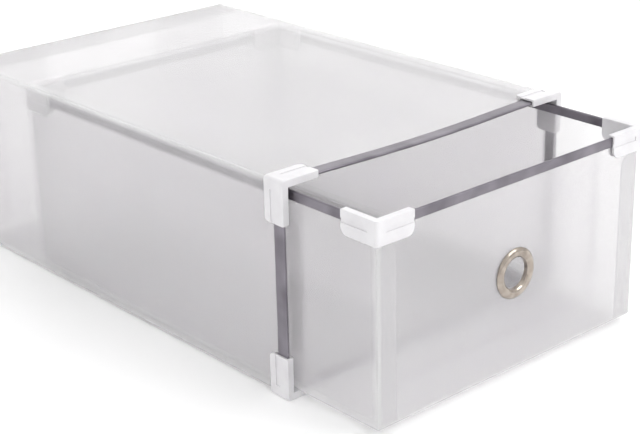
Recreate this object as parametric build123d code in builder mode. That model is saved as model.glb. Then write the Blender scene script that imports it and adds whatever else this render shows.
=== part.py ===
"""Shoe box with a pull-out drawer, made of creased translucent polypropylene sheet.

The sleeve is an open-fronted box whose mouth is edged with four metal strips and four corner caps.
The drawer is a tray whose rim is edged the same way, with a metal grommet as its finger pull.
Each sheet is modelled panel by panel, split at its creases.

Millimetres, +Z up. The drawer opens towards -Y. The origin is at table height, at the centre of the
footprint with the drawer at rest, which is partly open.
"""

import os

from build123d import *

# ---------------------------------------------------------------- driving dimensions
SHEET = 0.8  # thickness of the polypropylene sheet
CREASE_RADIUS = 0.6  # outside radius of a fold

SLEEVE_WIDTH = 220.0  # over the side panels
SLEEVE_DEPTH = 330.0  # from the mouth to the back panel's outside
SLEEVE_HEIGHT = 126.0  # over the top and bottom panels

STRIP_METAL = 0.5  # metal thickness of an edge strip
STRIP_NOSE_RADIUS = 0.8  # outside radius of a strip's folded edge
STRIP_END_SETBACK = 3.0  # from a sheet corner to the end of a strip
SLEEVE_STRIP_LEG = 7.5
DRAWER_STRIP_LEG = 5.0

CAP_WALL = 1.2
CAP_SLIP = 0.1  # clearance between a cap's pocket and the strip inside it
CAP_CORNER_RADIUS = 2.0
CAP_EDGE_RADIUS = 0.5
SLEEVE_CAP_ARM = 24.0  # from the sheet's outer corner to the end of an arm
SLEEVE_CAP_DEPTH = 15.0
SLEEVE_CAP_END_RADIUS = 3.0
DRAWER_CAP_ARM = 25.0
DRAWER_CAP_DEPTH = 14.0
DRAWER_CAP_END_RADIUS = 5.0
GROOVE_DEPTH = 0.5  # of the finger groove round the outside of a cap
GROOVE_CORNER_GAP = 5.0  # plain length between the cap's corner and its groove
SLEEVE_GROOVE_START = 7.0  # from the cap's closed face
SLEEVE_GROOVE_WIDTH = 3.4
DRAWER_GROOVE_START = 4.8
DRAWER_GROOVE_WIDTH = 2.6

DRAWER_SIDE_GAP = 0.8  # drawer cap to sleeve cap, each side
DRAWER_SEAT_GAP = 0.3  # drawer floor over the bottom caps that carry it
DRAWER_TOP_GAP = 1.0
DRAWER_BACK_GAP = 4.0  # behind the closed drawer
DRAWER_OPEN = 66.0  # how far the drawer stands out at rest

SEAM_TAB_WIDTH = 15.0
SEAM_TAB_SETBACK = 3.0  # from the front caps and the dust flaps to the seam tab
DUST_FLAP_WIDTH = 62.0
DUST_FLAP_GAP = 0.5
DUST_FLAP_CHAMFER = 9.0
TUCK_FLAP_LENGTH = 26.0
TUCK_FLAP_SIDE_GAP = 1.5
TUCK_FLAP_RADIUS = 10.0
CORNER_TAB_WIDTH = 13.0
CORNER_TAB_GAP = 1.0  # between a drawer cap and the tab below it
CORNER_TAB_CHAMFER = 5.0

GROMMET_BORE_RADIUS = 9.5
GROMMET_BARREL_WALL = 0.7
GROMMET_FLANGE_RADIUS = 15.0
GROMMET_DOME_HEIGHT = 1.7
GROMMET_LIP = 0.6  # straight bore wall in front of the panel
GROMMET_RIM_THICKNESS = 0.3
GROMMET_SLIP = 0.1  # clearance round the barrel
GROMMET_CURL_WIDTH = 1.2
GROMMET_CURL_HEIGHT = 0.6
WASHER_RADIUS = 14.5
WASHER_THICKNESS = 0.8

# ---------------------------------------------------------------- worked out from the above
cap_pocket = STRIP_METAL + CAP_SLIP  # from a sheet face to the pocket wall beside it
cap_proud = cap_pocket + CAP_WALL  # from a sheet face to the outside of the cap over it

half_width = SLEEVE_WIDTH / 2
base_z = cap_proud  # the bottom caps stand on the table and carry the sheet above it
roof_z = base_z + SLEEVE_HEIGHT
mouth_y = (DRAWER_OPEN + cap_proud - SLEEVE_DEPTH) / 2
back_y = mouth_y + SLEEVE_DEPTH

drawer_half_width = half_width - SHEET - 2 * cap_proud - DRAWER_SIDE_GAP
drawer_length = SLEEVE_DEPTH - 2 * SHEET - cap_proud - DRAWER_BACK_GAP
drawer_floor_z = base_z + SHEET + cap_proud + DRAWER_SEAT_GAP
drawer_rim_z = roof_z - SHEET - 2 * cap_proud - DRAWER_TOP_GAP
drawer_front_y = mouth_y - DRAWER_OPEN
drawer_back_y = drawer_front_y + drawer_length
wall_base_z = drawer_floor_z + SHEET
grommet_z = (drawer_floor_z + drawer_rim_z) / 2
barrel_radius = GROMMET_BORE_RADIUS + GROMMET_BARREL_WALL


def save(builder, name):
    """Labels a finished piece and writes it as parts/NAME.step."""
    builder.part.label = name
    export_step(builder.part, f"parts/{name}.step")


def edge_strip(plane, leg, length):
    """A U-shaped edging over a sheet's edge. The plane's origin is at the middle of the edge, its x axis
    crosses the sheet, its y axis points into the sheet and its normal runs along the edge."""
    half = SHEET / 2
    with BuildPart() as strip:
        with BuildSketch(plane):
            with Locations((0, (leg - STRIP_METAL) / 2)):
                outline = Rectangle(2 * (half + STRIP_METAL), leg + STRIP_METAL)
            fillet(outline.vertices().group_by(Axis.Y)[0], STRIP_NOSE_RADIUS)
            with Locations((0, leg / 2)):
                Rectangle(SHEET, leg, mode=Mode.SUBTRACT)
        extrude(amount=length / 2, both=True)
    return strip


def angle_outline(low, high, reach):
    """Sketches an L with both arms from low to reach, and low to high across each arm."""
    across = high - low
    along = reach - low
    with Locations((low, low)):
        Rectangle(along, across, align=(Align.MIN, Align.MIN))
        Rectangle(across, along, align=(Align.MIN, Align.MIN))


def corner_cap(plane, arm, depth, end_radius, groove_start, groove_width):
    """A moulded cap over a corner where two edge strips meet. The plane's origin is at the outer corner
    of the sheet's edge, its x and y axes run along the two arms and its normal leaves the sheet."""
    with BuildPart() as cap:
        with BuildSketch(plane.offset(cap_proud)):
            angle_outline(-cap_proud, SHEET + cap_proud, arm)
        extrude(amount=-depth)
        outward = -1 * (plane.x_dir + plane.y_dir)
        along_normal = cap.edges().filter_by(Axis(plane.origin, plane.z_dir))
        outer_corner = along_normal.sort_by(Axis(plane.origin, outward))[-1]
        fillet(outer_corner, CAP_CORNER_RADIUS)
        closed_face = cap.faces().sort_by(Axis(plane.origin, plane.z_dir))[-1]
        fillet(closed_face.edges(), CAP_EDGE_RADIUS)
        for along, across in ((plane.x_dir, plane.y_dir), (plane.y_dir, plane.x_dir)):
            end_face = cap.faces().sort_by(Axis(plane.origin, along))[-1]
            end_edges = end_face.edges().filter_by(Axis(plane.origin, across))
            fillet(end_edges.sort_by(Axis(plane.origin, plane.z_dir))[0], end_radius)
        with BuildSketch(plane.offset(cap_pocket)):
            angle_outline(-cap_pocket, SHEET + cap_pocket, arm + CAP_WALL)
        extrude(amount=-depth, mode=Mode.SUBTRACT)
        with BuildSketch(plane.offset(cap_proud - groove_start)):
            for turn in (False, True):
                size = (GROOVE_DEPTH, arm) if turn else (arm, GROOVE_DEPTH)
                start = (-cap_proud, GROOVE_CORNER_GAP) if turn else (GROOVE_CORNER_GAP, -cap_proud)
                with Locations(start):
                    Rectangle(*size, align=(Align.MIN, Align.MIN))
        extrude(amount=-groove_width, mode=Mode.SUBTRACT)
    return cap


os.makedirs("parts", exist_ok=True)

# ---------------------------------------------------------------- sleeve panels
with BuildPart() as sleeve_top_panel:
    with BuildSketch(Plane.XY.offset(roof_z - SHEET)):
        with Locations((0, mouth_y)):
            Rectangle(SLEEVE_WIDTH, SLEEVE_DEPTH, align=(Align.CENTER, Align.MIN))
    extrude(amount=SHEET)
    upper_edges = sleeve_top_panel.faces().sort_by(Axis.Z)[-1].edges()
    fillet(upper_edges.sort_by(Axis.Y)[1:], CREASE_RADIUS)
save(sleeve_top_panel, "sleeve_top_panel")

with BuildPart() as sleeve_bottom_panel:
    with BuildSketch(Plane.XY.offset(base_z)):
        with Locations((0, mouth_y)):
            Rectangle(SLEEVE_WIDTH, SLEEVE_DEPTH - SHEET, align=(Align.CENTER, Align.MIN))
    extrude(amount=SHEET)
    lower_edges = sleeve_bottom_panel.faces().sort_by(Axis.Z)[0].edges()
    fillet(lower_edges.filter_by(Axis.Y), CREASE_RADIUS)
save(sleeve_bottom_panel, "sleeve_bottom_panel")

for side, direction in (("left", -1), ("right", 1)):
    with BuildPart() as sleeve_side_panel:
        with BuildSketch(Plane.YZ.offset(direction * (half_width - SHEET))):
            with Locations((mouth_y, base_z + SHEET)):
                Rectangle(
                    SLEEVE_DEPTH - SHEET,
                    SLEEVE_HEIGHT - 2 * SHEET,
                    align=(Align.MIN, Align.MIN),
                )
        extrude(amount=direction * SHEET)
    save(sleeve_side_panel, f"sleeve_{side}_panel")

with BuildPart() as sleeve_back_panel:
    with BuildSketch(Plane.XZ.offset(-back_y)):
        with Locations((0, base_z)):
            Rectangle(SLEEVE_WIDTH, SLEEVE_HEIGHT - SHEET, align=(Align.CENTER, Align.MIN))
    extrude(amount=SHEET)
    rear_edges = sleeve_back_panel.faces().sort_by(Axis.Y)[-1].edges()
    fillet(rear_edges.sort_by(Axis.Z)[:-1], CREASE_RADIUS)
save(sleeve_back_panel, "sleeve_back_panel")

# ---------------------------------------------------------------- sleeve flaps
with BuildPart() as sleeve_seam_tab:
    with BuildSketch(Plane.XY.offset(base_z + SHEET)):
        tab_front = mouth_y + SLEEVE_CAP_DEPTH - cap_proud + SEAM_TAB_SETBACK
        tab_back = back_y - 2 * SHEET - SEAM_TAB_SETBACK
        with Locations((half_width - SHEET, tab_front)):
            Rectangle(SEAM_TAB_WIDTH, tab_back - tab_front, align=(Align.MAX, Align.MIN))
    extrude(amount=SHEET)
save(sleeve_seam_tab, "sleeve_seam_tab")

for side, direction in (("left", -1), ("right", 1)):
    with BuildPart() as sleeve_dust_flap:
        with BuildSketch(Plane.XZ.offset(SHEET - back_y)):
            flap_low = base_z + 2 * SHEET + DUST_FLAP_GAP
            flap_high = roof_z - 2 * SHEET - DUST_FLAP_GAP
            with Locations((direction * (half_width - SHEET - DUST_FLAP_WIDTH / 2), flap_low)):
                outline = Rectangle(
                    DUST_FLAP_WIDTH, flap_high - flap_low, align=(Align.CENTER, Align.MIN)
                )
            inner_corners = outline.vertices().sort_by(Axis.X)[:2]
            if direction < 0:
                inner_corners = outline.vertices().sort_by(Axis.X)[-2:]
            chamfer(inner_corners, DUST_FLAP_CHAMFER)
        extrude(amount=SHEET)
    save(sleeve_dust_flap, f"sleeve_{side}_dust_flap")

with BuildPart() as sleeve_tuck_flap:
    with BuildSketch(Plane.XY.offset(roof_z - 2 * SHEET)):
        flap_width = SLEEVE_WIDTH - 2 * (SHEET + TUCK_FLAP_SIDE_GAP)
        with Locations((0, back_y - SHEET)):
            outline = Rectangle(flap_width, TUCK_FLAP_LENGTH, align=(Align.CENTER, Align.MAX))
        fillet(outline.vertices().group_by(Axis.Y)[0], TUCK_FLAP_RADIUS)
    extrude(amount=SHEET)
save(sleeve_tuck_flap, "sleeve_tuck_flap")

# ---------------------------------------------------------------- edging of the sleeve's mouth
across_run = SLEEVE_WIDTH - 2 * STRIP_END_SETBACK
upright_run = SLEEVE_HEIGHT - 2 * STRIP_END_SETBACK
sleeve_mid_z = (base_z + roof_z) / 2
sleeve_edges = {
    "top": (Plane((0, mouth_y, roof_z - SHEET / 2), (0, 0, -1), (1, 0, 0)), across_run),
    "bottom": (Plane((0, mouth_y, base_z + SHEET / 2), (0, 0, -1), (1, 0, 0)), across_run),
    "left": (Plane((SHEET / 2 - half_width, mouth_y, sleeve_mid_z), (1, 0, 0)), upright_run),
    "right": (Plane((half_width - SHEET / 2, mouth_y, sleeve_mid_z), (1, 0, 0)), upright_run),
}
for side, (plane, run) in sleeve_edges.items():
    save(edge_strip(plane, SLEEVE_STRIP_LEG, run), f"sleeve_{side}_strip")

for level, upward, corner_z in (("top", 1, roof_z), ("bottom", -1, base_z)):
    for side, direction in (("left", -1), ("right", 1)):
        arms = [Vector(-direction, 0, 0), Vector(0, 0, -upward)]
        if arms[0].cross(arms[1]).Y > 0:
            arms.reverse()
        corner = Plane((direction * half_width, mouth_y, corner_z), arms[0], arms[0].cross(arms[1]))
        cap = corner_cap(
            corner,
            SLEEVE_CAP_ARM,
            SLEEVE_CAP_DEPTH,
            SLEEVE_CAP_END_RADIUS,
            SLEEVE_GROOVE_START,
            SLEEVE_GROOVE_WIDTH,
        )
        save(cap, f"sleeve_{level}_{side}_cap")

# ---------------------------------------------------------------- drawer panels
with BuildPart() as drawer_floor_panel:
    with BuildSketch(Plane.XY.offset(drawer_floor_z)):
        with Locations((0, drawer_front_y)):
            Rectangle(2 * drawer_half_width, drawer_length, align=(Align.CENTER, Align.MIN))
    extrude(amount=SHEET)
    fillet(drawer_floor_panel.faces().sort_by(Axis.Z)[0].edges(), CREASE_RADIUS)
save(drawer_floor_panel, "drawer_floor_panel")

with BuildPart() as drawer_front_panel:
    with BuildSketch(Plane.XZ.offset(-drawer_front_y - SHEET)):
        with Locations((0, wall_base_z)):
            Rectangle(
                2 * drawer_half_width, drawer_rim_z - wall_base_z, align=(Align.CENTER, Align.MIN)
            )
        with Locations((0, grommet_z)):
            Circle(barrel_radius + GROMMET_SLIP, mode=Mode.SUBTRACT)
    extrude(amount=SHEET)
    outer_edges = drawer_front_panel.faces().sort_by(Axis.Y)[0].edges()
    fillet(outer_edges.filter_by(Axis.Z), CREASE_RADIUS)
save(drawer_front_panel, "drawer_front_panel")

with BuildPart() as drawer_back_panel:
    with BuildSketch(Plane.XZ.offset(-drawer_back_y)):
        with Locations((0, wall_base_z)):
            Rectangle(
                2 * drawer_half_width, drawer_rim_z - wall_base_z, align=(Align.CENTER, Align.MIN)
            )
    extrude(amount=SHEET)
    outer_edges = drawer_back_panel.faces().sort_by(Axis.Y)[-1].edges()
    fillet(outer_edges.filter_by(Axis.Z), CREASE_RADIUS)
save(drawer_back_panel, "drawer_back_panel")

for side, direction in (("left", -1), ("right", 1)):
    with BuildPart() as drawer_side_panel:
        with BuildSketch(Plane.YZ.offset(direction * (drawer_half_width - SHEET))):
            with Locations((drawer_front_y + SHEET, wall_base_z)):
                Rectangle(
                    drawer_length - 2 * SHEET,
                    drawer_rim_z - wall_base_z,
                    align=(Align.MIN, Align.MIN),
                )
        extrude(amount=direction * SHEET)
    save(drawer_side_panel, f"drawer_{side}_panel")

# ---------------------------------------------------------------- drawer corner tabs
tab_height = drawer_rim_z + cap_proud - DRAWER_CAP_DEPTH - CORNER_TAB_GAP - wall_base_z
tab_planes = {
    "front": Plane.XZ.offset(-drawer_front_y - 2 * SHEET),
    "back": Plane.XZ.offset(SHEET - drawer_back_y),
}
for end, plane in tab_planes.items():
    for side, direction in (("left", -1), ("right", 1)):
        with BuildPart() as drawer_corner_tab:
            with BuildSketch(plane):
                tab_centre = direction * (drawer_half_width - SHEET - CORNER_TAB_WIDTH / 2)
                with Locations((tab_centre, wall_base_z)):
                    outline = Rectangle(
                        CORNER_TAB_WIDTH, tab_height, align=(Align.CENTER, Align.MIN)
                    )
                upper_corners = outline.vertices().group_by(Axis.Y)[-1].sort_by(Axis.X)
                chamfer(upper_corners[0 if direction > 0 else -1], CORNER_TAB_CHAMFER)
            extrude(amount=SHEET)
        save(drawer_corner_tab, f"drawer_{end}_{side}_tab")

# ---------------------------------------------------------------- edging of the drawer's rim
rim_across = 2 * (drawer_half_width - STRIP_END_SETBACK)
rim_along = drawer_length - 2 * STRIP_END_SETBACK
drawer_mid_y = (drawer_front_y + drawer_back_y) / 2
wall_mid_x = drawer_half_width - SHEET / 2
front_mid_y = drawer_front_y + SHEET / 2
back_mid_y = drawer_back_y - SHEET / 2
drawer_edges = {
    "front": (Plane((0, front_mid_y, drawer_rim_z), (0, -1, 0), (1, 0, 0)), rim_across),
    "back": (Plane((0, back_mid_y, drawer_rim_z), (0, -1, 0), (1, 0, 0)), rim_across),
    "left": (Plane((-wall_mid_x, drawer_mid_y, drawer_rim_z), (1, 0, 0), (0, 1, 0)), rim_along),
    "right": (Plane((wall_mid_x, drawer_mid_y, drawer_rim_z), (1, 0, 0), (0, 1, 0)), rim_along),
}
for side, (plane, run) in drawer_edges.items():
    save(edge_strip(plane, DRAWER_STRIP_LEG, run), f"drawer_{side}_strip")

for end, inward, corner_y in (("front", 1, drawer_front_y), ("back", -1, drawer_back_y)):
    for side, direction in (("left", -1), ("right", 1)):
        arms = [Vector(-direction, 0, 0), Vector(0, inward, 0)]
        if arms[0].cross(arms[1]).Z < 0:
            arms.reverse()
        corner = Plane((direction * drawer_half_width, corner_y, drawer_rim_z), arms[0], (0, 0, 1))
        cap = corner_cap(
            corner,
            DRAWER_CAP_ARM,
            DRAWER_CAP_DEPTH,
            DRAWER_CAP_END_RADIUS,
            DRAWER_GROOVE_START,
            DRAWER_GROOVE_WIDTH,
        )
        save(cap, f"drawer_{end}_{side}_cap")

# ---------------------------------------------------------------- finger-pull grommet
# Sketch x is the radius and y the distance inwards from the front panel's outer face.
grommet_plane = Plane((0, drawer_front_y, grommet_z), (1, 0, 0))
curl_y = SHEET + WASHER_THICKNESS
flange_crest = (GROMMET_BORE_RADIUS + GROMMET_FLANGE_RADIUS) / 2

with BuildPart() as grommet_eyelet:
    with BuildSketch(grommet_plane):
        with BuildLine():
            bore_end = curl_y + GROMMET_CURL_HEIGHT / 2
            Line((GROMMET_BORE_RADIUS, bore_end), (GROMMET_BORE_RADIUS, -GROMMET_LIP))
            ThreePointArc(
                (GROMMET_BORE_RADIUS, -GROMMET_LIP),
                (flange_crest, -GROMMET_DOME_HEIGHT),
                (GROMMET_FLANGE_RADIUS, -GROMMET_RIM_THICKNESS),
            )
            Polyline(
                (GROMMET_FLANGE_RADIUS, -GROMMET_RIM_THICKNESS),
                (GROMMET_FLANGE_RADIUS, 0),
                (barrel_radius, 0),
                (barrel_radius, curl_y),
                (barrel_radius + GROMMET_CURL_WIDTH, curl_y),
            )
            ThreePointArc(
                (barrel_radius + GROMMET_CURL_WIDTH, curl_y),
                (barrel_radius + GROMMET_CURL_WIDTH / 3, curl_y + GROMMET_CURL_HEIGHT),
                (GROMMET_BORE_RADIUS, bore_end),
            )
        make_face()
    revolve(axis=Axis((0, drawer_front_y, grommet_z), (0, 1, 0)))
save(grommet_eyelet, "grommet_eyelet")

with BuildPart() as grommet_washer:
    with BuildSketch(Plane.XZ.offset(-drawer_front_y - curl_y)):
        with Locations((0, grommet_z)):
            Circle(WASHER_RADIUS)
            Circle(barrel_radius + GROMMET_SLIP, mode=Mode.SUBTRACT)
    extrude(amount=WASHER_THICKNESS)
    inner_face_rim = grommet_washer.faces().sort_by(Axis.Y)[-1].edges().sort_by(SortBy.LENGTH)[-1]
    fillet(inner_face_rim, WASHER_THICKNESS / 2)
save(grommet_washer, "grommet_washer")
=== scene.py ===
"""Looks of a frosted drawer-type shoe box: two creased sheets, metal edging, white caps and a grommet."""

import logging
import math
from collections.abc import Callable, Mapping, Sequence
from dataclasses import dataclass, field
from enum import Enum
from typing import Any

import bmesh
import bpy
import numpy as np
from mathutils import Matrix, Vector


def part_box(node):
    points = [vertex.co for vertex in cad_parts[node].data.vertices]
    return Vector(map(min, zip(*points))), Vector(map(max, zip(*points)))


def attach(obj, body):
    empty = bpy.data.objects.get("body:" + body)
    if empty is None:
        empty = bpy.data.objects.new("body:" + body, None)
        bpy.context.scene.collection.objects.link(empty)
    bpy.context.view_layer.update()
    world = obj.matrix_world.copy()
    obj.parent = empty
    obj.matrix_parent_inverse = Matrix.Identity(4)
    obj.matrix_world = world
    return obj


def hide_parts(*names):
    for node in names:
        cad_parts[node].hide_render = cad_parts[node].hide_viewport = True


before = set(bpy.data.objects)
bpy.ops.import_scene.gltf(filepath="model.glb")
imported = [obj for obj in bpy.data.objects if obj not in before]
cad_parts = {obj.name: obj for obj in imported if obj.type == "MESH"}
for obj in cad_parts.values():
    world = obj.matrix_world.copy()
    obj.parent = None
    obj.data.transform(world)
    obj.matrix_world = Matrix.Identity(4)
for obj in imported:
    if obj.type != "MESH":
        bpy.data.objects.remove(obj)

logging.basicConfig(level=logging.INFO, format="%(message)s")
log = logging.getLogger("shoe_box")

MM = 0.001
WELD_DISTANCE = 2e-6
CREASE_STEPS = 5  # segments round a fold's quarter circle
CORNER = 4  # side number of a rounded rectangle's corner points
WALL_FOLD_GLOW = 2.2 * MM  # reach of the stress whitening beside a long fold
FLOOR_FOLD_GLOW = 2.0 * MM
FLAP_FOLD_GLOW = 1.5 * MM
BARREL_RADIUS = 10.2 * MM  # outside of the eyelet's barrel, which passes through the drawer's front

Grid = np.ndarray  # points on two parameters, shaped (rows, columns, 3)
Curve = np.ndarray  # points on one parameter, shaped (count, 3)


# ---------------------------------------------------------------- shared shapes


@dataclass
class Patch:
    """One surface on a grid, with how strongly each of its points is creased, and on a drawer tab a painted
    brightening in the same numbers.

    Attributes:
        points: Places on the grid, in metres.
        crease: 0 for flat sheet to 1 on a fold, one number for each point. A drawer tab is set high here as
            painted brightening.
        ring: True if the last row joins the first.
    """

    points: Grid
    crease: np.ndarray
    ring: bool = False

    def faces(self, first: int) -> np.ndarray:
        """Joins each four neighbours into a face.

        Args:
            first: Index of this patch's first point in the mesh.

        Returns:
            One row of four point indices for each face.
        """
        rows, columns = self.points.shape[:2]
        index = first + np.arange(rows * columns).reshape(rows, columns)
        after = np.roll(index, -1, axis=0)
        if not self.ring:
            index, after = index[:-1], after[:-1]
        corners = (index[:, :-1], after[:, :-1], after[:, 1:], index[:, 1:])
        return np.stack(corners, axis=-1).reshape(-1, 4)


def linear_rgb(code: str) -> tuple[float, float, float, float]:
    """Turns an sRGB hex colour into the linear colour that shaders take.

    Args:
        code: Six hex digits, such as "F2F0EE".

    Returns:
        Linear red, green and blue, and an alpha of 1.
    """
    srgb = np.array([int(code[i : i + 2], 16) for i in (0, 2, 4)]) / 255.0
    low, high = srgb / 12.92, ((srgb + 0.055) / 1.055) ** 2.4
    red, green, blue = np.where(srgb <= 0.04045, low, high)
    return float(red), float(green), float(blue), 1.0


def swell(t: np.ndarray | float) -> np.ndarray:
    """A hump of (1 - t^2)^2, which is 1 at 0 and leaves -1 and 1 flat.

    Args:
        t: Where to read it, and 0 outside -1 to 1.

    Returns:
        The hump's height there.
    """
    return (1.0 - np.clip(np.asarray(t, dtype=float), -1.0, 1.0) ** 2) ** 2


def ease(t: np.ndarray | float) -> np.ndarray:
    """A step of 3t^2 - 2t^3 from 0 to 1, level at both ends.

    Args:
        t: Where to read it.

    Returns:
        The step's height there.
    """
    t = np.clip(np.asarray(t, dtype=float), 0.0, 1.0)
    return t * t * (3.0 - 2.0 * t)


def spaced(low: float, high: float, count: int, near: float = 1.5 * MM) -> np.ndarray:
    """Even steps from low to high, with one more point close to each end for the fold's pale line.

    Args:
        low: First value.
        high: Last value.
        count: Number of even steps.
        near: Distance of the extra point from each end.

    Returns:
        The values in rising order.
    """
    even = np.linspace(low, high, count + 1)
    return np.unique(np.concatenate([even, [low + near, high - near]]))


def spoke_shares(count: int) -> np.ndarray:
    """Shares of the way from a patch's middle to its edge, with one more close to the edge.

    Args:
        count: Number of even steps before the last two.

    Returns:
        The shares, from 0 to 1.
    """
    return np.concatenate([np.linspace(0.0, 0.97, count), [0.985, 1.0]])


def paleness(distance: np.ndarray, reach: float) -> np.ndarray:
    """How stress-whitened the sheet is near a fold: exp(-(distance / reach)^2).

    Args:
        distance: From the fold.
        reach: How far the whitening reaches.

    Returns:
        1 on the fold, falling to 0 away from it.
    """
    return np.exp(-((distance / reach) ** 2))


def rounded_rectangle(
    half: tuple[float, float],
    radius: float,
    along: tuple[np.ndarray, np.ndarray],
) -> np.ndarray:
    """A closed outline of four straight sides and four quarter circles.

    Side by side it runs at -y, +x, +y and -x. A corner's point is its centre plus the radius times
    (cos a, sin a), with a turning a quarter.

    Args:
        half: Half of the size in x and in y.
        radius: Corner radius.
        along: Where the points lie on the x sides and on the y sides, as shares from -1 to 1.

    Returns:
        The outline's points, shaped (count, 2).
    """
    reach = np.array(half) - radius
    turn = np.linspace(0.0, math.pi / 2, CREASE_STEPS + 1)[1:-1]
    parts = []
    for side in range(4):
        angle = side * math.pi / 2
        shares = along[side % 2]
        run, out = (reach[0], half[1]) if side % 2 == 0 else (reach[1], half[0])
        straight = np.stack([shares * run, np.full_like(shares, -out)], axis=1)
        centre = np.array([run, -(out - radius)])
        corner = centre + radius * np.stack([np.sin(turn), -np.cos(turn)], axis=1)
        both = np.concatenate([straight, corner])
        cos, sin = math.cos(angle), math.sin(angle)
        parts.append(both @ np.array([[cos, sin], [-sin, cos]]))
    return np.concatenate(parts)


def side_numbers(along: tuple[np.ndarray, np.ndarray]) -> np.ndarray:
    """Which side each point of rounded_rectangle lies on.

    Args:
        along: Where the points lie on the x sides and on the y sides.

    Returns:
        0 to 3 for the sides at -y, +x, +y and -x, and CORNER in the corners.
    """
    parts = []
    for side in range(4):
        parts.append(np.full(len(along[side % 2]), side))
        parts.append(np.full(CREASE_STEPS - 1, CORNER))
    return np.concatenate(parts)


def build_object(name: str, patches: Sequence[Patch], uv: np.ndarray | None = None) -> bpy.types.Object:
    """Makes one welded, smooth mesh object from patches that share edges.

    Args:
        name: Name of the piece.
        patches: Its surfaces.
        uv: A UV pair for each point, kept where given.

    Returns:
        The new object, linked into the scene.
    """
    points = np.concatenate([p.points.reshape(-1, 3) for p in patches])
    crease = np.concatenate([p.crease.reshape(-1) for p in patches]).astype(np.float32)
    firsts = np.cumsum([0] + [p.points.shape[0] * p.points.shape[1] for p in patches[:-1]])
    faces = np.concatenate([p.faces(int(first)) for p, first in zip(patches, firsts)])
    mesh = bpy.data.meshes.new(name)
    mesh.from_pydata(points.tolist(), [], faces.tolist())
    # Stores the crease values, which whiten the folds and, on the drawer's tabs, paint brightening for the
    # doubled sheet.
    mesh.attributes.new("crease_and_painted_tab_white", "FLOAT", "POINT").data.foreach_set("value", crease)
    if uv is not None:
        layer = mesh.uv_layers.new(name="rolled")
        corners = np.zeros(len(mesh.loops), dtype=np.int32)
        mesh.loops.foreach_get("vertex_index", corners)
        layer.data.foreach_set("uv", uv[corners].astype(np.float32).ravel())
    work = bmesh.new()
    work.from_mesh(mesh)
    bmesh.ops.remove_doubles(work, verts=work.verts, dist=WELD_DISTANCE)
    bmesh.ops.recalc_face_normals(work, faces=work.faces)
    work.to_mesh(mesh)
    work.free()
    mesh.shade_smooth()
    piece = bpy.data.objects.new(name, mesh)
    bpy.context.scene.collection.objects.link(piece)
    return piece


def give_thickness(piece: bpy.types.Object, thickness: float, edge: float) -> None:
    """Turns a surface into sheet, evenly on both sides, and softens its cut edges.

    Args:
        piece: The surface.
        thickness: Of the sheet.
        edge: Radius of the cut edges.
    """
    solid = piece.modifiers.new("sheet_thickness", "SOLIDIFY")
    solid.thickness, solid.offset, solid.use_even_offset = thickness, 0.0, True
    bevel = piece.modifiers.new("cut_edges", "BEVEL")
    bevel.width, bevel.segments, bevel.limit_method = edge, 2, "ANGLE"
    bevel.angle_limit = math.radians(50.0)
    bevel.harden_normals = True


# ---------------------------------------------------------------- finishes


def add_node(
    tree: bpy.types.NodeTree,
    kind: str,
    inputs: Mapping[Any, Any] | None = None,
    **settings: Any,
) -> Any:
    """Adds one shader node.

    Args:
        tree: Where to add it.
        kind: Blender's type name, without the ShaderNode in front.
        inputs: Values or sockets for its inputs, by name or number.
        **settings: Values for the node's own properties.

    Returns:
        The new node.
    """
    node = tree.nodes.new("ShaderNode" + kind)
    for key, value in settings.items():
        setattr(node, key, value)
    for key, value in (inputs or {}).items():
        if isinstance(value, bpy.types.NodeSocket):
            tree.links.new(value, node.inputs[key])
        else:
            node.inputs[key].default_value = value
    return node


def new_surface(name: str) -> tuple[bpy.types.Material, bpy.types.NodeTree, Any]:
    """Makes an empty node material.

    Args:
        name: Name of the material.

    Returns:
        The material, its node tree and the surface socket to feed.
    """
    material = bpy.data.materials.new(name)
    material.use_nodes = True
    tree = material.node_tree
    tree.nodes.clear()
    return material, tree, add_node(tree, "OutputMaterial").inputs["Surface"]


def blend_colours(tree: bpy.types.NodeTree, share: Any, first: Any, second: Any) -> Any:
    """Mixes two colours.

    Args:
        tree: Where to add the node.
        share: How much of the second colour, a number or a socket.
        first: A colour or a socket.
        second: A colour or a socket.

    Returns:
        The mixed colour's socket.
    """
    node = add_node(tree, "Mix", {0: share, 6: first, 7: second}, data_type="RGBA")
    return node.outputs[2]


def between(
    tree: bpy.types.NodeTree,
    value: Any,
    low: float,
    high: float,
    start: float = 0.3,
    end: float = 0.7,
) -> Any:
    """Carries a value's span from start to end over to low to high. Noise keeps mostly to 0.3 to 0.7.

    Args:
        tree: Where to add the node.
        value: The socket to read.
        low: Result at start.
        high: Result at end.
        start: Lowest value read.
        end: Highest value read.

    Returns:
        The result's socket.
    """
    inputs = {"Value": value, "From Min": start, "From Max": end, "To Min": low, "To Max": high}
    return add_node(tree, "MapRange", inputs).outputs["Result"]


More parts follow.
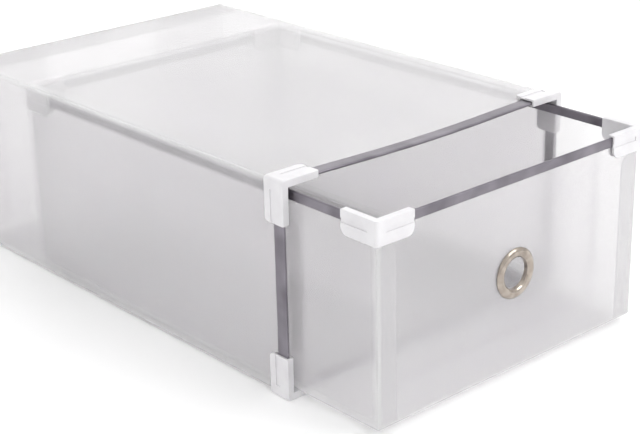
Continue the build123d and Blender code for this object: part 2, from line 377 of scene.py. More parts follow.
@dataclass(frozen=True)
class FrostedPolypropylene:
    """Extruded polypropylene sheet with one matt-rolled face: milky, clear close up, blurred further off.

    The haze thickens a little from place to place, and each fold is paler, where it is stress-whitened.
    The grain of the matt roll is finer than a millimetre, so it is drawn at about one.
    """

    name: str = "frosted_polypropylene_sheet"
    clear_hex: str = "FEFDFE"
    hazy_hex: str = "FCFAFC"
    # The fold colour, cover and transmission also paint the drawer's tabs, as painted brightening of the
    # doubled sheet.
    fold_hex: str = "FFFFFF"
    cover: float = 0.72
    fold_cover: float = 0.82
    transmission: float = 0.86
    fold_transmission: float = 0.7
    ior: float = 1.49
    smooth: float = 0.17
    rough: float = 0.23
    grain_mm: float = 1.0
    cloud_mm: float = 60.0

    def make(self) -> bpy.types.Material:
        """Builds the material."""
        material, tree, surface = new_surface(self.name)
        place = add_node(tree, "TexCoord").outputs["Object"]
        cloud = add_node(tree, "TexNoise", {"Vector": place, "Scale": 1000.0 / self.cloud_mm, "Detail": 1.0})
        grain = add_node(tree, "TexNoise", {"Vector": place, "Scale": 1000.0 / self.grain_mm, "Detail": 2.0})
        # Whitening read here: stress whitening at folds, and painted brightening across the drawer's tabs.
        fold = add_node(tree, "Attribute", attribute_name="crease_and_painted_tab_white").outputs["Fac"]
        haze = between(tree, cloud.outputs["Fac"], 0.0, 1.0, 0.1, 0.9)
        clarity = between(tree, fold, self.transmission, self.fold_transmission, 0.0, 1.0)
        body = blend_colours(tree, haze, linear_rgb(self.clear_hex), linear_rgb(self.hazy_hex))
        bump = add_node(
            tree,
            "Bump",
            {"Height": grain.outputs["Fac"], "Strength": 0.12, "Distance": 0.08 * MM},
        )
        shader = add_node(
            tree,
            "BsdfPrincipled",
            {
                "Base Color": blend_colours(tree, fold, body, linear_rgb(self.fold_hex)),
                "Roughness": between(tree, cloud.outputs["Fac"], self.smooth, self.rough, 0.1, 0.9),
                "IOR": self.ior,
                "Alpha": between(tree, fold, self.cover, self.fold_cover, 0.0, 1.0),
                "Transmission Weight": clarity,
                "Normal": bump.outputs["Normal"],
            },
        )
        tree.links.new(shader.outputs["BSDF"], surface)
        return material


@dataclass(frozen=True)
class RolledTinplate:
    """Cold-rolled tinplate folded into edging: satin, fine lines along the strip, soft grey reflections."""

    name: str = "rolled_tinplate"
    light_hex: str = "8D8990"
    dark_hex: str = "6A666D"
    smooth: float = 0.28
    rough: float = 0.4
    line_mm: float = 0.7
    length_mm: float = 60.0
    cloud_mm: float = 25.0

    def make(self) -> bpy.types.Material:
        """Builds the material. It reads the strip's own UV map, which is in metres along and across it."""
        material, tree, surface = new_surface(self.name)
        place = add_node(tree, "UVMap", uv_map="rolled").outputs["UV"]
        scale = (1000.0 / self.length_mm, 1000.0 / self.line_mm, 1.0)
        drawn = add_node(tree, "Mapping", {"Vector": place, "Scale": scale})
        lines = add_node(tree, "TexNoise", {"Vector": drawn.outputs["Vector"], "Scale": 1.0, "Detail": 4.0})
        cloud = add_node(tree, "TexNoise", {"Vector": place, "Scale": 1000.0 / self.cloud_mm, "Detail": 2.0})
        bump = add_node(
            tree,
            "Bump",
            {"Height": lines.outputs["Fac"], "Strength": 0.15, "Distance": 0.05 * MM},
        )
        tone = between(tree, cloud.outputs["Fac"], 0.0, 1.0)
        colour = blend_colours(tree, tone, linear_rgb(self.light_hex), linear_rgb(self.dark_hex))
        shader = add_node(
            tree,
            "BsdfPrincipled",
            {
                "Base Color": colour,
                "Metallic": 1.0,
                "Roughness": between(tree, lines.outputs["Fac"], self.smooth, self.rough),
                "Normal": bump.outputs["Normal"],
            },
        )
        tree.links.new(shader.outputs["BSDF"], surface)
        return material


@dataclass(frozen=True)
class MouldedPolystyrene:
    """Injection-moulded white polystyrene: bright, faintly soft, semi-gloss, with a fine eroded grain."""

    name: str = "moulded_white_polystyrene"
    clean_hex: str = "E0DFE1"
    shade_hex: str = "D5D3D6"
    ior: float = 1.59
    smooth: float = 0.3
    rough: float = 0.42
    grain_mm: float = 0.9
    flow_mm: float = 14.0

    def make(self) -> bpy.types.Material:
        """Builds the material."""
        material, tree, surface = new_surface(self.name)
        place = add_node(tree, "TexCoord").outputs["Object"]
        flow = add_node(tree, "TexNoise", {"Vector": place, "Scale": 1000.0 / self.flow_mm, "Detail": 3.0})
        grain = add_node(tree, "TexNoise", {"Vector": place, "Scale": 1000.0 / self.grain_mm, "Detail": 2.0})
        bump = add_node(
            tree,
            "Bump",
            {"Height": grain.outputs["Fac"], "Strength": 0.08, "Distance": 0.05 * MM},
        )
        tone = between(tree, flow.outputs["Fac"], 0.0, 1.0)
        colour = blend_colours(tree, tone, linear_rgb(self.clean_hex), linear_rgb(self.shade_hex))
        shader = add_node(
            tree,
            "BsdfPrincipled",
            {
                "Base Color": colour,
                "Roughness": between(tree, flow.outputs["Fac"], self.smooth, self.rough),
                "IOR": self.ior,
                "Subsurface Weight": 0.15,
                "Subsurface Radius": (0.8 * MM, 0.8 * MM, 0.7 * MM),
                "Subsurface Scale": 1.0,
                "Normal": bump.outputs["Normal"],
            },
        )
        tree.links.new(shader.outputs["BSDF"], surface)
        return material


@dataclass(frozen=True)
class NickelPlate:
    """Nickel plate on pressed brass: bright and warm, with fine circles from spinning round the bore."""

    name: str = "nickel_plated_brass"
    light_hex: str = "B5ABA1"
    dark_hex: str = "978D84"
    smooth: float = 0.12
    rough: float = 0.26
    circle_mm: float = 0.6
    tones_per_metre: float = 220.0
    centre: tuple[float, float, float] = (0.0, 0.0, 0.0)

    def make(self) -> bpy.types.Material:
        """Builds the material. The circles are noise read at the distance from the bore's axis."""
        material, tree, surface = new_surface(self.name)
        place = add_node(tree, "TexCoord").outputs["Object"]
        moved = add_node(tree, "VectorMath", {0: place, 1: self.centre}, operation="SUBTRACT")
        flat = add_node(tree, "VectorMath", {0: moved.outputs[0], 1: (1.0, 0.0, 1.0)}, operation="MULTIPLY")
        distance = add_node(tree, "VectorMath", {0: flat.outputs[0]}, operation="LENGTH").outputs["Value"]
        circles = add_node(
            tree,
            "TexNoise",
            {"W": distance, "Scale": 1000.0 / self.circle_mm, "Detail": 2.0},
            noise_dimensions="1D",
        )
        tone = add_node(tree, "TexNoise", {"Vector": place, "Scale": self.tones_per_metre, "Detail": 2.0})
        mixed = between(tree, tone.outputs["Fac"], 0.0, 1.0)
        colour = blend_colours(tree, mixed, linear_rgb(self.light_hex), linear_rgb(self.dark_hex))
        shader = add_node(
            tree,
            "BsdfPrincipled",
            {
                "Base Color": colour,
                "Metallic": 1.0,
                "Roughness": between(tree, circles.outputs["Fac"], self.smooth, self.rough),
            },
        )
        tree.links.new(shader.outputs["BSDF"], surface)
        return material


@dataclass(frozen=True)
class StudioPaper:
    """Seamless white studio paper, matt, and a barely visible shade uneven."""

    name: str = "white_studio_paper"
    light_hex: str = "F8F8F8"
    dark_hex: str = "F4F4F4"
    cloud_mm: float = 125.0
    glow: float = 0.08

    def make(self) -> bpy.types.Material:
        """Builds the material."""
        material, tree, surface = new_surface(self.name)
        place = add_node(tree, "TexCoord").outputs["Object"]
        cloud = add_node(tree, "TexNoise", {"Vector": place, "Scale": 1000.0 / self.cloud_mm, "Detail": 3.0})
        tone = between(tree, cloud.outputs["Fac"], 0.0, 1.0)
        colour = blend_colours(tree, tone, linear_rgb(self.light_hex), linear_rgb(self.dark_hex))
        shader = add_node(
            tree,
            "BsdfPrincipled",
            {
                "Base Color": colour,
                "Roughness": 0.9,
                "Specular IOR Level": 0.1,
                "Emission Color": (1.0, 1.0, 1.0, 1.0),
                "Emission Strength": self.glow,
            },
        )
        tree.links.new(shader.outputs["BSDF"], surface)
        return material


class Slot(Enum):
    """The record's material slots."""

    SHEET = "frosted_sheet"
    STEEL = "edge_strip_steel"
    CAP = "corner_cap_plastic"
    NICKEL = "grommet_nickel"


def dress(piece: bpy.types.Object, material: bpy.types.Material, body: str) -> None:
    """Gives a new piece its finish and the body that it moves with.

    Args:
        piece: The piece.
        material: Its finish.
        body: The body that carries it.
    """
    piece.data.materials.append(material)
    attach(piece, body)
    log.info("%s rides on %s", piece.name, body)


# ---------------------------------------------------------------- edging


@dataclass(frozen=True)
class EdgeStrip:
    """A strip of metal folded over a sheet's edge.

    Attributes:
        name: Name of the piece.
        start: Start of the edge's middle line.
        end: End of it.
        inward: Direction from the edge into the sheet.
        leg: How far each leg covers the sheet.
        sheet: Thickness of the sheet.
        metal: Thickness of the metal.
        drift: Moves the edge's points where the sheet isn't flat.
        nose_radius: Outside radius of the fold.
        lip_radius: Of the two legs' free edges.
        steps: Number of lengths that the strip is divided into.
    """

    name: str
    start: Vector
    end: Vector
    inward: Vector
    leg: float
    sheet: float
    metal: float
    drift: Callable[[Curve], Curve]
    nose_radius: float = 0.8 * MM
    lip_radius: float = 0.2 * MM
    steps: int = 48

    def profile(self) -> np.ndarray:
        """The U's outline, across the sheet and into it, with quarter circles at its nose and rounded lips.

        Returns:
            The outline's points, shaped (count, 2).
        """
        inner = self.sheet / 2
        outer = inner + self.metal
        turn = np.linspace(0.0, math.pi / 2, 7)
        in_from_side, in_from_end = 1 - np.sin(turn), 1 - np.cos(turn)
        nose_across = outer - self.nose_radius * in_from_side
        nose_along = -self.metal + self.nose_radius * in_from_end
        nose = np.stack([nose_across, nose_along], axis=1)
        lip_across = outer - self.lip_radius * in_from_end
        lip_along = self.leg - self.lip_radius * in_from_side
        lip = np.stack([lip_across, lip_along], axis=1)
        hollow = np.array([[inner, self.leg], [inner, self.leg / 2], [inner, 0.0]])
        waist = np.array([[outer, self.leg * share] for share in (0.25, 0.5, 0.75)])
        right = np.concatenate([nose, waist, lip, hollow])
        left = right[::-1] * np.array([-1.0, 1.0])
        return np.concatenate([right, left])

    def make(self) -> bpy.types.Object:
        """Carries the outline along the edge.

        Each point is the edge's point plus the outline's two distances, times the two directions.
        """
        outline = self.profile()
        share = np.linspace(0.0, 1.0, self.steps + 1)[None, :, None]
        line = np.array(self.start) + share * (np.array(self.end) - np.array(self.start))
        along = np.array((self.end - self.start).normalized())
        inward = np.array(self.inward)
        across = np.cross(inward, along)
        offset = outline[:, None, :1] * across + outline[:, None, 1:] * inward
        points = self.drift(np.broadcast_to(line, (len(outline), self.steps + 1, 3)).reshape(-1, 3))
        points = points.reshape(len(outline), self.steps + 1, 3) + offset
        around = np.concatenate([[0.0], np.cumsum(np.linalg.norm(np.diff(outline, axis=0), axis=1))])
        length = (self.end - self.start).length
        across_uv, along_uv = np.meshgrid(around, share.ravel() * length, indexing="ij")
        uv = np.stack([along_uv, across_uv], axis=-1).reshape(-1, 2)
        piece = build_object(self.name, [Patch(points, np.zeros(points.shape[:2]), ring=True)], uv)
        close_ends(piece)
        return piece


def close_ends(piece: bpy.types.Object) -> None:
    """Closes the open ends of a strip with one face each.

    Args:
        piece: The strip.
    """
    work = bmesh.new()
    work.from_mesh(piece.data)
    open_edges = [edge for edge in work.edges if edge.is_boundary]
    bmesh.ops.holes_fill(work, edges=open_edges, sides=0)
    bmesh.ops.recalc_face_normals(work, faces=work.faces)
    work.to_mesh(piece.data)
    work.free()


# ---------------------------------------------------------------- sleeve


@dataclass
class Sleeve:
    """The outer sheet, wrapped into a tube with a closed back, and the edging round its mouth.

    Its panels bow by the amounts below, as humps that are highest at a panel's middle.
    """

    sheet_finish: bpy.types.Material
    strip_finish: bpy.types.Material
    body: str = "sleeve"
    fold_radius: float = 1.2 * MM
    cut_edge: float = 0.12 * MM
    roof_sag: float = 2.2 * MM  # at the middle of the mouth
    side_bow: float = 1.0 * MM  # inwards, as are the others
    floor_bow: float = 0.3 * MM
    back_bow: float = 1.2 * MM
    dust_flap_cut: float = 9.0 * MM
    tuck_radius: float = 10.0 * MM
    rows: int = 66
    columns: int = 34
    levels: int = 22
    beside_fold: tuple[float, float] = (0.014, 0.026)  # extra points, as shares of half the width and height
    thickness: float = field(init=False)
    low: Vector = field(init=False)
    high: Vector = field(init=False)

    def __post_init__(self) -> None:
        """Reads the sleeve's box from the frame."""
        top_low, self.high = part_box("sleeve_top_panel")
        self.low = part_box("sleeve_bottom_panel")[0]
        self.thickness = self.high.z - top_low.z

    def depth_share(self, y: np.ndarray) -> np.ndarray:
        """How far back y lies, from 0 at the mouth to 1 at the back."""
        return (y - self.low.y) / (self.high.y - self.low.y)

    def height_share(self, z: np.ndarray) -> np.ndarray:
        """How high z lies, from -1 at the floor to 1 at the roof."""
        return 2 * (z - self.low.z) / (self.high.z - self.low.z) - 1

    def roof_drop(self, x: np.ndarray, y: np.ndarray) -> np.ndarray:
        """How far the roof hangs: a hump across, deepest at the mouth, with a slow ripple further in.

        Args:
            x: Places across.
            y: Places back.

        Returns:
            The drop at each place.
        """
        back = self.depth_share(y)
        across = swell(x / self.high.x)
        wave = np.sin(2.3 * math.pi * back + 0.6) * np.sin(math.pi * back)
        ripple = 0.35 * wave * (1 + 0.5 * x / self.high.x)
        return self.roof_sag * across * (1 - 0.9 * ease(back) + ripple)

    def side_push(self, y: np.ndarray, z: np.ndarray, side: int) -> np.ndarray:
        """How far a side wall leans in: a hump up its height, times a slow wave along it.

        Args:
            y: Places back.
            z: Heights.
            side: -1 for the left wall and 1 for the right.

        Returns:
            The push towards the middle at each place.
        """
        back = self.depth_share(y)
        wave = np.sin(math.pi * back) * (0.6 + 0.5 * np.sin(2.8 * math.pi * back + side))
        return self.side_bow * swell(self.height_share(z)) * wave

    def wrap(self) -> bpy.types.Object:
        """The roof, sides and floor as one folded tube: a rounded rectangle carried from mouth to back."""
        inset = self.thickness / 2
        half = (self.high.x - inset, (self.high.z - self.low.z) / 2 - inset)
        wide = spaced(-1.0, 1.0, self.columns, self.beside_fold[0])
        tall = spaced(-1.0, 1.0, self.levels, self.beside_fold[1])
        outline = rounded_rectangle(half, self.fold_radius, (wide, tall))
        side = side_numbers((wide, tall))[:, None]
        back = np.linspace(self.low.y, self.high.y - self.thickness - self.fold_radius * 0.2, self.rows + 1)
        x = np.repeat(outline[:, 0][:, None], len(back), axis=1)
        z = np.repeat(outline[:, 1][:, None], len(back), axis=1) + (self.high.z + self.low.z) / 2
        y = np.broadcast_to(back, x.shape).copy()
        drop = self.roof_drop(x, y)
        lift = self.floor_bow * swell(x / self.high.x) * np.sin(math.pi * self.depth_share(y)) ** 2
        right, left = self.side_push(y, z, 1), self.side_push(y, z, -1)
        z = z + np.where(side == 0, lift, 0.0) - np.where(side == 2, drop, 0.0)
        x = x - np.where(side == 1, right, 0.0) + np.where(side == 3, left, 0.0)
        from_fold = np.max(np.array(half) - np.abs(outline), axis=1)[:, None]
        pale = np.where(side == CORNER, 1.0, paleness(from_fold, WALL_FOLD_GLOW))
        crease = np.repeat(pale, len(back), axis=1)
        points = np.stack([x, y, z], axis=-1)
        piece = build_object("sleeve_wrap", [Patch(points, crease, ring=True)])
        give_thickness(piece, self.thickness, self.cut_edge)
        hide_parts(*(f"sleeve_{name}_panel" for name in ("top", "bottom", "left", "right")))
        return piece

    def back_sheet(self) -> bpy.types.Object:
        """The back panel: a quarter circle where it tucks in under the roof, then straight down."""
        inset = self.thickness / 2
        turn = np.linspace(0.0, math.pi / 2, CREASE_STEPS + 1)
        back, top = self.high.y - inset, self.high.z - inset
        arc_y = back - self.fold_radius * (1 - np.sin(turn))
        arc_z = top - self.fold_radius * (1 - np.cos(turn))
        fall = np.linspace(arc_z[-1], self.low.z + inset, 27)[1:]
        line_y = np.concatenate([arc_y, np.full(len(fall), back)])
        line_z = np.concatenate([arc_z, fall])
        across = np.linspace(-1, 1, 41) * (self.high.x - inset)
        x, z = np.meshgrid(across, line_z, indexing="ij")
        y = np.broadcast_to(line_y, x.shape) - self.back_push(x, z)
        crease = paleness(top - z, WALL_FOLD_GLOW)
        piece = build_object("sleeve_back_sheet", [Patch(np.stack([x, y, z], axis=-1), crease)])
        give_thickness(piece, self.thickness, self.cut_edge)
        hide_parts("sleeve_back_panel")
        return piece

    def back_push(self, x: np.ndarray, z: np.ndarray) -> np.ndarray:
        """How far the back panel leans in: a hump across its width and up its height."""
        return self.back_bow * swell(x / self.high.x) * swell(self.height_share(z))

    def flap(
        self,
        name: str,
        node: str,
        u: np.ndarray,
        v: np.ndarray,
        place: Callable[..., Grid],
    ) -> bpy.types.Object:
        """One flap that follows the panel it lies on.

        Args:
            name: Name of the piece.
            node: The plain flap that it stands for.
            u: Shares from the flap's fold to its free edge.
            v: Shares along the fold.
            place: Turns the two grids of shares into points.

        Returns:
            The flap.
        """
        points = place(*np.meshgrid(u, v, indexing="ij"))
        crease = paleness(np.linalg.norm(points - points[:1], axis=-1), FLAP_FOLD_GLOW)
        piece = build_object(name, [Patch(points, crease)])
        give_thickness(piece, self.thickness, self.cut_edge)
        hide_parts(node)
        return piece

    def flaps(self) -> list[bpy.types.Object]:
        """The seam tab, the two dust flaps and the tuck flap."""
        half_sheet = self.thickness / 2
        made = []
        low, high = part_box("sleeve_seam_tab")

        def seam(u: np.ndarray, v: np.ndarray) -> Grid:
            """The seam tab lies on the floor, inwards from the right wall."""
            x, y = high.x + u * (low.x - high.x), low.y + v * (high.y - low.y)
            lift = self.floor_bow * swell(x / self.high.x) * np.sin(math.pi * self.depth_share(y)) ** 2
            return np.stack([x, y, low.z + half_sheet + lift + 0 * x], axis=-1)

        narrow, lengthwise = np.linspace(0, 1, 5), np.linspace(0, 1, 41)
        made.append(self.flap("sleeve_seam_overlap", "sleeve_seam_tab", narrow, lengthwise, seam))

        for side, sign in (("left", -1), ("right", 1)):
            low_d, high_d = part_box(f"sleeve_{side}_dust_flap")
            width, cut = high_d.x - low_d.x, self.dust_flap_cut

            def dust(u: np.ndarray, v: np.ndarray) -> Grid:
                """A dust flap lies against the back, and both its free corners are cut off."""
                trim = np.maximum(0.0, u * width - (width - cut))
                x = sign * (self.high.x - self.thickness - u * width)
                z = low_d.z + trim + v * (high_d.z - low_d.z - 2 * trim)
                y = low_d.y + half_sheet - self.back_push(x, z)
                return np.stack([x, y, z], axis=-1)

            shares = np.unique(np.concatenate([np.linspace(0, 1, 17), [1 - cut / width]]))
            upright = np.linspace(0, 1, 25)
            name, node = f"sleeve_{side}_dust_ear", f"sleeve_{side}_dust_flap"
            made.append(self.flap(name, node, shares, upright, dust))

        low_t, high_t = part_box("sleeve_tuck_flap")
        radius = self.tuck_radius

        def tuck(u: np.ndarray, v: np.ndarray) -> Grid:
            """The tuck flap lies under the roof and hangs with it. Its free corners are quarter circles."""
            length = high_t.y - low_t.y
            past = np.maximum(0.0, u * length - (length - radius))
            trim = radius - np.sqrt(np.maximum(radius**2 - past**2, 0.0))
            x = (2 * v - 1) * (high_t.x - trim)
            y = high_t.y - u * length
            z = low_t.z + half_sheet - self.roof_drop(x, y)
            return np.stack([x, y, z], axis=-1)

        bend = 1 - radius / (high_t.y - low_t.y) * (1 - np.sin(np.linspace(0, math.pi / 2, 9)))
        shares = np.unique(np.concatenate([np.linspace(0, bend[0], 6), bend]))
        made.append(self.flap("sleeve_tuck_lip", "sleeve_tuck_flap", shares, lengthwise, tuck))
        return made

    def strips(self) -> list[bpy.types.Object]:
        """The four strips round the mouth. The top one hangs with the roof."""
        made = []
        for name in ("top", "bottom", "left", "right"):
            low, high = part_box(f"sleeve_{name}_strip")
            middle = (low + high) / 2
            metal = ((high - low)[2 if name in ("top", "bottom") else 0] - self.thickness) / 2
            mouth = low.y + metal
            if name in ("top", "bottom"):
                start, end = Vector((low.x, mouth, middle.z)), Vector((high.x, mouth, middle.z))
            else:
                start, end = Vector((middle.x, mouth, low.z)), Vector((middle.x, mouth, high.z))

            def drift(points: Curve, is_roof: bool = name == "top") -> Curve:
                """The top strip hangs with the roof, and the others stay straight."""
                moved = points.copy()
                if is_roof:
                    moved[:, 2] -= self.roof_drop(points[:, 0], points[:, 1])
                return moved

            strip = EdgeStrip(
                f"sleeve_{name}_edging",
                start,
                end,
                Vector((0, 1, 0)),
                high.y - mouth,
                self.thickness,
                metal,
                drift,
            )
            piece = strip.make()
            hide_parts(f"sleeve_{name}_strip")
            made.append(piece)
        return made

    def make(self) -> None:
        """Builds and dresses every sheet and strip of the sleeve."""
        for piece in (self.wrap(), self.back_sheet(), *self.flaps()):
            dress(piece, self.sheet_finish, self.body)
        for piece in self.strips():
            dress(piece, self.strip_finish, self.body)


# ---------------------------------------------------------------- drawer


@dataclass
class Drawer:
    """The inner sheet, folded into a tray with a grommet hole in its front, and the edging round its rim."""

    sheet_finish: bpy.types.Material
    strip_finish: bpy.types.Material
    body: str = "drawer"
    fold_radius: float = 1.3 * MM
    floor_fold_radius: float = 0.9 * MM
    cut_edge: float = 0.12 * MM
    hole_slip: float = 0.1 * MM
    bow: float = 0.7 * MM  # inwards
    tab_painted_paleness: float = 0.9  # painted brightening: a tab lying flat on the wall is painted nearly as white as a fold, standing in for the doubled sheet scattering more light
    flat_round_grommet: float = 26.0 * MM
    tab_cut: float = 5.0 * MM
    columns: int = 34
    rows: int = 50
    levels: int = 22
    front_rings: int = 26
    floor_rings: int = 20
    beside_fold: tuple[float, float] = (0.016, 0.010)  # extra points, as shares of half the width and depth
    thickness: float = field(init=False)
    low: Vector = field(init=False)
    high: Vector = field(init=False)

    def __post_init__(self) -> None:
        """Reads the tray's box from the frame."""
        self.low, floor_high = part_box("drawer_floor_panel")
        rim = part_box("drawer_front_panel")[1].z
        self.thickness = floor_high.z - self.low.z
        self.high = Vector((floor_high.x, floor_high.y, rim))

    def height_share(self, z: np.ndarray) -> np.ndarray:
        """How high z lies, from -1 at the floor to 1 at the rim."""
        return 2 * (z - self.low.z) / (self.high.z - self.low.z) - 1

    def end_push(self, x: np.ndarray, z: np.ndarray) -> np.ndarray:
        """How far an end wall leans in: humps across and up it, with none round the grommet at its middle."""
        middle = (self.high.z + self.low.z) / 2
        away = 1 - paleness(np.hypot(x, z - middle), self.flat_round_grommet)
        wave = 0.6 + 0.4 * np.sin(1.7 * math.pi * x / self.high.x + 0.8)
        return self.bow * swell(x / self.high.x) * swell(self.height_share(z)) * away * wave

    def side_push(self, y: np.ndarray, z: np.ndarray) -> np.ndarray:
        """How far a side wall leans in: a hump up its height, times a slow wave along it."""
        along = (y - self.low.y) / (self.high.y - self.low.y)
        wave = np.sin(math.pi * along) * (0.7 + 0.4 * np.sin(3.3 * math.pi * along))
        return self.bow * swell(self.height_share(z)) * wave

    def tray(self) -> bpy.types.Object:
        """The whole tray: its walls as rounded rectangles, its floor and front drawn in to a middle.

        The ring goes up a quarter circle from the floor and then straight up. The front wall between its
        folds is left out of the straight part, and filled by lines from its outline to the hole's circle.
        """
        inset = self.thickness / 2
        centre_y = (self.high.y + self.low.y) / 2
        half = (self.high.x - inset, (self.high.y - self.low.y) / 2 - inset)
        wide = spaced(-1.0, 1.0, self.columns, self.beside_fold[0])
        long = spaced(-1.0, 1.0, self.rows, self.beside_fold[1])
        turn = np.linspace(0.0, math.pi / 2, CREASE_STEPS + 1)
        floor_z = self.low.z + inset
        rise = spaced(floor_z + self.floor_fold_radius, self.high.z, self.levels)
        levels = np.concatenate([floor_z + self.floor_fold_radius * (1 - np.cos(turn)), rise[1:]])
        insets = np.concatenate([self.floor_fold_radius * (1 - np.sin(turn)), np.zeros(len(rise) - 1)])
        along = (wide, long)
        loops = [rounded_rectangle((half[0] - i, half[1] - i), self.fold_radius - i, along) for i in insets]
        ring = np.stack(loops, axis=1)
        x, y = ring[..., 0], ring[..., 1] + centre_y
        z = np.broadcast_to(levels, x.shape).copy()
        side = side_numbers(along)[:, None]
        ends, sides = self.end_push(x, z), self.side_push(y, z)
        y = y + np.where(side == 0, ends, 0.0) - np.where(side == 2, ends, 0.0)
        x = x - np.where(side == 1, sides, 0.0) + np.where(side == 3, sides, 0.0)
        points = np.stack([x, y, z], axis=-1)
        from_fold = np.max(np.array(half) - np.abs(ring), axis=-1)
        crease = np.maximum(paleness(z - floor_z, FLOOR_FOLD_GLOW), paleness(from_fold, WALL_FOLD_GLOW))
        bend = len(turn) - 1
        order = np.append(np.arange(len(wide) - 1, len(points)), 0)
        walls = Patch(points[order][:, bend:], crease[order][:, bend:])
        foot = Patch(points[:, : bend + 1], crease[:, : bend + 1], ring=True)
        front = self.front_fill(points[: len(wide), bend:], crease[: len(wide), bend:])
        floor = self.floor_fill(points[:, 0], crease[:, 0])
        piece = build_object("drawer_tray", [walls, foot, front, floor])
        give_thickness(piece, self.thickness, self.cut_edge)
        names = ("floor", "front", "back", "left", "right")
        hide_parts(*(f"drawer_{name}_panel" for name in names))
        return piece

    def front_fill(self, wall: Grid, pale: np.ndarray) -> Patch:
        """The front wall between its folds, round the grommet hole.

        A point is (1 - t) times the hole's circle plus t times the wall's outline, at the same angle.

        Args:
            wall: The wall's own grid, from which its outline is read.
            pale: The wall's crease values.

        Returns:
            The filled patch.
        """
        rim = [wall[:, 0], wall[-1, 1:], wall[::-1, -1][1:], wall[0, ::-1][1:-1]]
        edge = np.concatenate(rim)
        edge_pale = np.concatenate([pale[:, 0], pale[-1, 1:], pale[::-1, -1][1:], pale[0, ::-1][1:-1]])
        ring_low, ring_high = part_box("grommet_eyelet")
        centre = np.array([(ring_low.x + ring_high.x) / 2, 0.0, (ring_low.z + ring_high.z) / 2])
        radius = BARREL_RADIUS + self.hole_slip
        spoke = edge - centre
        angle = np.arctan2(spoke[:, 2], spoke[:, 0])
        circle = centre + radius * np.stack([np.cos(angle), 0 * angle, np.sin(angle)], axis=-1)
        t = spoke_shares(self.front_rings)
        flat = circle[:, None] * (1 - t)[None, :, None] + edge[:, None] * t[None, :, None]
        flat[..., 1] = self.low.y + self.thickness / 2 + self.end_push(flat[..., 0], flat[..., 2])
        flat[:, -1] = edge
        crease = edge_pale[:, None] * np.where(t < 1, 0.0, 1.0)[None, :]
        return Patch(flat, crease, ring=True)

    def floor_fill(self, edge: Curve, pale: np.ndarray) -> Patch:
        """The floor inside its folds: an edge point times t, plus the middle times (1 - t)."""
        middle = edge.mean(axis=0)
        t = spoke_shares(self.floor_rings)
        points = middle + (edge[:, None] - middle) * t[None, :, None]
        crease = pale[:, None] * np.where(t < 1, 0.0, 1.0)[None, :]
        return Patch(points, crease, ring=True)

    def tabs(self) -> list[bpy.types.Object]:
        """The four tabs that lie inside the end walls, each with one corner cut off."""
        made, cut = [], self.tab_cut
        for end, inward in (("front", 1), ("back", -1)):
            for side, sign in (("left", -1), ("right", 1)):
                low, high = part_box(f"drawer_{end}_{side}_tab")
                width = high.x - low.x
                shares = np.unique(np.concatenate([np.linspace(0, 1, 7), [1 - cut / width]]))
                u, v = np.meshgrid(shares, np.linspace(0, 1, 25), indexing="ij")
                trim = np.maximum(0.0, u * width - (width - cut))
                x = sign * (self.high.x - self.thickness - u * width)
                z = low.z + v * (high.z - low.z - trim)
                y = (low.y + high.y) / 2 + inward * self.end_push(x, z)
                # Painted brightening: the whole tab is painted almost fold-white, standing in for the light
                # the doubled sheet scatters back.
                crease = np.maximum(paleness(u * width, FLAP_FOLD_GLOW), self.tab_painted_paleness)
                patch = Patch(np.stack([x, y, z], axis=-1), crease)
                piece = build_object(f"drawer_{end}_{side}_ear", [patch])
                give_thickness(piece, self.thickness, self.cut_edge)
                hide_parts(f"drawer_{end}_{side}_tab")
                made.append(piece)
        return made

    def strips(self) -> list[bpy.types.Object]:
        """The four strips on the rim."""
        made = []
        for name in ("front", "back", "left", "right"):
            low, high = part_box(f"drawer_{name}_strip")
            middle = (low + high) / 2
            ends = name in ("front", "back")
            metal = ((high - low)[1 if ends else 0] - self.thickness) / 2
            rim = high.z - metal
            if ends:
                start, end = Vector((low.x, middle.y, rim)), Vector((high.x, middle.y, rim))
            else:
                start, end = Vector((middle.x, low.y, rim)), Vector((middle.x, high.y, rim))
            strip = EdgeStrip(
                f"drawer_{name}_edging",
                start,
                end,
                Vector((0, 0, -1)),
                rim - low.z,
                self.thickness,
                metal,
                lambda points: points,
            )
            piece = strip.make()
            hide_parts(f"drawer_{name}_strip")
            made.append(piece)
        return made

    def make(self) -> None:
        """Builds and dresses every sheet and strip of the drawer."""
        for piece in (self.tray(), *self.tabs()):
            dress(piece, self.sheet_finish, self.body)
        for piece in self.strips():
            dress(piece, self.strip_finish, self.body)


# ---------------------------------------------------------------- carried-over pieces


def dress_kept_nodes(cap_finish: bpy.types.Material, ring_finish: bpy.types.Material) -> None:
    """Dresses the caps and the grommet, whose shapes come from the frame.

    Args:
        cap_finish: For the corner caps.
        ring_finish: For the grommet.
    """
    for name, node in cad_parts.items():
        if name.endswith("_cap") or name.startswith("grommet"):
            material = cap_finish if name.endswith("_cap") else ring_finish
            node.data.materials.clear()
            node.data.materials.append(material)
            log.info("%s keeps its shape", name)


# ---------------------------------------------------------------- studio


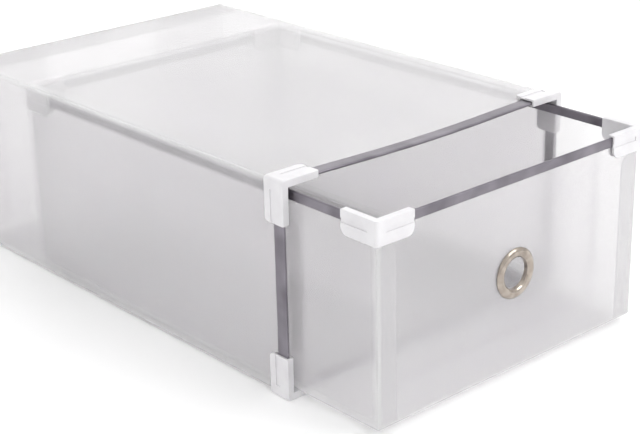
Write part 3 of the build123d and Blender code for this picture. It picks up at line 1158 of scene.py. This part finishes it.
@dataclass(frozen=True)
class Studio:
    """A white paper floor, an even white surround and two soft lamps."""

    floor_size: float = 12.0
    floor_drop: float = 0.1 * MM
    surround: float = 1.0
    light_bounces: int = 24

    def make(self) -> None:
        """Builds the floor, the world and the lamps."""
        half = self.floor_size / 2
        low = -self.floor_drop
        corners = [(-half, -half, low), (half, -half, low), (half, half, low), (-half, half, low)]
        mesh = bpy.data.meshes.new("studio_floor")
        mesh.from_pydata(corners, [], [(0, 1, 2, 3)])
        floor = bpy.data.objects.new("studio_floor", mesh)
        bpy.context.scene.collection.objects.link(floor)
        mesh.materials.append(StudioPaper().make())
        world = bpy.data.worlds.new("studio_surround")
        world.use_nodes = True
        tree = world.node_tree
        seen = add_node(tree, "LightPath").outputs["Is Camera Ray"]
        backdrop = tree.nodes["Background"]
        backdrop.inputs["Color"].default_value = (1.0, 1.0, 1.0, 1.0)
        tree.links.new(between(tree, seen, self.surround, 1.0, 0.0, 1.0), backdrop.inputs["Strength"])
        bpy.context.scene.world = world
        self.lamp("key_softbox", (0.8, -1.6, 1.3), 1.0, 11.0)
        self.lamp("top_softbox", (0.1, 0.0, 1.6), 1.4, 5.0)
        self.lamp("back_softbox", (1.3, 1.5, 0.95), 1.3, 2.0)
        bpy.context.scene.view_settings.view_transform = "Standard"
        paths = bpy.context.scene.cycles
        paths.max_bounces = paths.transmission_bounces = paths.transparent_max_bounces = self.light_bounces
        paths.diffuse_bounces = self.light_bounces // 2

    def lamp(self, name: str, place: tuple[float, float, float], size: float, power: float) -> None:
        """Hangs one square soft lamp that faces the box.

        Args:
            name: Name of the lamp.
            place: Where it hangs.
            size: Length of its side.
            power: In watts.
        """
        data = bpy.data.lights.new(name, "AREA")
        data.shape, data.size, data.energy = "SQUARE", size, power
        lamp = bpy.data.objects.new(name, data)
        aim = Vector((0.0, 0.0, 0.06)) - Vector(place)
        lamp.matrix_world = Matrix.Translation(place) @ aim.to_track_quat("-Z", "Y").to_matrix().to_4x4()
        bpy.context.scene.collection.objects.link(lamp)


@dataclass(frozen=True)
class ProductCamera:
    """A long lens to the front left of the box and above it, turned a little about its own line of sight."""

    place: tuple[float, float, float] = (-0.6006, -0.7213, 0.4133)
    azimuth: float = -41.18
    elevation: float = 21.67
    roll: float = -1.30
    lens_mm: float = 88.1

    def make(self) -> None:
        """Builds the camera and makes it the scene's.

        Its back direction is (sin a cos e, -cos a cos e, sin e), and its right is level, then rolled.
        """
        a, e, r = (math.radians(v) for v in (self.azimuth, self.elevation, self.roll))
        back = Vector((math.sin(a) * math.cos(e), -math.cos(a) * math.cos(e), math.sin(e)))
        right = (-back).cross(Vector((0, 0, 1))).normalized()
        up = right.cross(-back)
        turned_right = right * math.cos(r) + up * math.sin(r)
        turned_up = up * math.cos(r) - right * math.sin(r)
        data = bpy.data.cameras.new("product_camera")
        data.lens, data.sensor_width = self.lens_mm, 36.0
        data.dof.use_dof = False
        camera = bpy.data.objects.new("product_camera", data)
        turn = Matrix((turned_right, turned_up, back)).transposed()
        camera.matrix_world = Matrix.Translation(self.place) @ turn.to_4x4()
        bpy.context.scene.collection.objects.link(camera)
        bpy.context.scene.camera = camera


def main() -> None:
    """Builds the studio, both sheets with their edging, and the finishes."""
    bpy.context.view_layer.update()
    sheet = FrostedPolypropylene().make()
    strip = RolledTinplate().make()
    ring_low, ring_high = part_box("grommet_eyelet")
    Sleeve(sheet, strip).make()
    Drawer(sheet, strip).make()
    nickel = NickelPlate(centre=tuple((ring_low + ring_high) / 2)).make()
    dress_kept_nodes(MouldedPolystyrene().make(), nickel)
    Studio().make()
    ProductCamera().make()
    bpy.context.view_layer.update()


if __name__ == "__main__":
    main()
